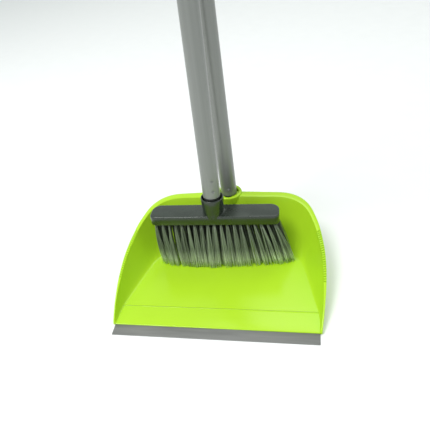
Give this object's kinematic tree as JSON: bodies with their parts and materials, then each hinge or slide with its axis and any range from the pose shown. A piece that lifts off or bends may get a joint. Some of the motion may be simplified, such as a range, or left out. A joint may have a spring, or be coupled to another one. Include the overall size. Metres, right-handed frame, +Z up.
{
  "type": "dust pan and brush set",
  "caption": "Upright dust pan with a rubber lip, comb rims and a screw-in tube handle, carrying a clipped broom with its own screw-in tube handle.",
  "frame": {"origin": "on the floor, under the middle of the bounding box of the whole set", "axes": "+Z up along the handles, -Y the way the tray's lip faces, +X to the right seen from the lip"},
  "size_m": [0.2562, 0.2223, 0.8811],
  "materials": {
    "lime_plastic": "glossy moulded polypropylene",
    "lip_rubber": "satin grey soft strip",
    "grey_tube": "satin grey enamel on steel",
    "charcoal_plastic": "satin moulded plastic",
    "bristle": "flagged synthetic bristle"
  },
  "bodies": {
    "pan": {"pan_shell": "lime_plastic", "lip_strip": "lip_rubber", "handle_clip": "charcoal_plastic"},
    "pan_handle": {"pan_tube": "grey_tube", "pan_tube_plug": "charcoal_plastic", "pan_grip": "charcoal_plastic", "pan_cap": "charcoal_plastic"},
    "brush": {"brush_block": "charcoal_plastic", "tuft_01": "bristle", "tuft_02": "bristle", "tuft_03": "bristle", "tuft_04": "bristle", "tuft_05": "bristle", "tuft_06": "bristle", "tuft_07": "bristle", "tuft_08": "bristle", "tuft_09": "bristle", "tuft_10": "bristle", "tuft_11": "bristle", "tuft_12": "bristle", "tuft_13": "bristle", "tuft_14": "bristle", "tuft_15": "bristle", "tuft_16": "bristle", "tuft_17": "bristle", "tuft_18": "bristle", "tuft_19": "bristle"},
    "brush_handle": {"brush_tube": "grey_tube", "brush_tube_plug": "charcoal_plastic", "brush_grip": "charcoal_plastic", "brush_cap": "charcoal_plastic"}
  },
  "joints": [
    {"name": "pan_handle_turn", "type": "hinge", "parent": "pan", "child": "pan_handle", "pos_m": [0, 0.09055, 0.0678], "axis": [0, -0.0359, 0.9994], "continuous": true},
    {"name": "broom_lift", "type": "slide", "parent": "pan", "child": "brush", "axis": [0.019, 0.018, 0.9997], "range_m": [0, 0.43]},
    {"name": "broom_handle_turn", "type": "hinge", "parent": "brush", "child": "brush_handle", "pos_m": [-0.0103, 0.03005, 0.0993], "axis": [0.019, 0.018, 0.9997], "continuous": true}
  ]
}
